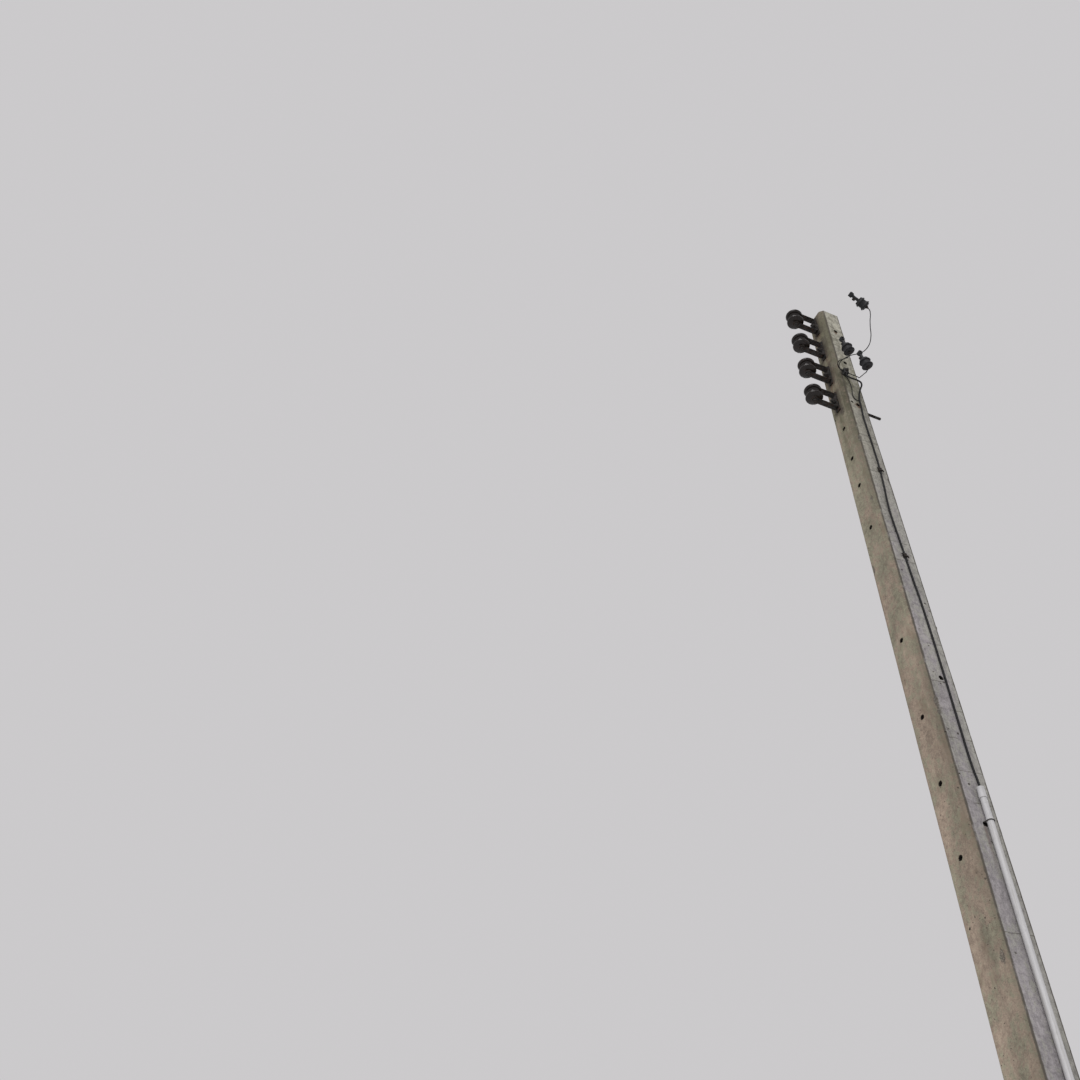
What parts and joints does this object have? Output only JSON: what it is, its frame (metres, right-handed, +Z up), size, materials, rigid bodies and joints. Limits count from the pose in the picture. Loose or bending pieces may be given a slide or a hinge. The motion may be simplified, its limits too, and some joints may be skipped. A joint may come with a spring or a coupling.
{
  "type": "concrete low-voltage utility pole",
  "caption": "Tapered square concrete pole with spool insulator racks, line-hung surge arresters, an earth lead and its conduit",
  "frame": {"origin": "on the ground, at the middle of the post's cut face", "axes": "+Z up along the post, -Y the face with the spool racks, +X the face with the earth lead and conduit"},
  "size_m": [0.4797, 0.4032, 6.7],
  "materials": {
    "concrete": "weathered cast concrete, stained, rough",
    "zinc_steel": "old hot-dip galvanised flat bar, dull and darkened",
    "bolts": "galvanised bolts, dull",
    "porcelain": "dark brown glaze",
    "clamp_metal": "dark weathered alloy",
    "lead": "black cable jacket",
    "tie_wire": "dark iron wire",
    "conduit": "pale grey rigid plastic, dusty",
    "clamp_plastic": "black moulded plastic",
    "arrester": "black polymer housing"
  },
  "bodies": {
    "root": {"post": "concrete", "rack_bracket_1": "zinc_steel", "rack_bracket_2": "zinc_steel", "rack_bracket_3": "zinc_steel", "rack_bracket_4": "zinc_steel", "spool_1": "porcelain", "spool_2": "porcelain", "spool_3": "porcelain", "spool_4": "porcelain", "spool_pin_1": "bolts", "spool_pin_2": "bolts", "spool_pin_3": "bolts", "spool_pin_4": "bolts", "rack_bolt_1": "bolts", "rack_bolt_2": "bolts", "rack_bolt_3": "bolts", "rack_bolt_4": "bolts", "back_nut_1": "bolts", "back_nut_2": "bolts", "back_nut_3": "bolts", "back_nut_4": "bolts", "earth_clamp": "clamp_metal", "earth_lead": "lead", "bonding_loop": "lead", "lead_tie_upper": "tie_wire", "lead_tie_lower": "tie_wire", "conduit": "conduit", "conduit_bell": "conduit", "conduit_tie": "tie_wire", "line_clamp_1": "clamp_plastic", "line_clamp_2": "clamp_plastic", "line_clamp_3": "clamp_plastic", "arrester_1": "arrester", "arrester_2": "arrester", "arrester_3": "arrester", "arrester_lead_1": "lead", "arrester_lead_2": "lead", "arrester_lead_3": "lead"}
  },
  "joints": []
}
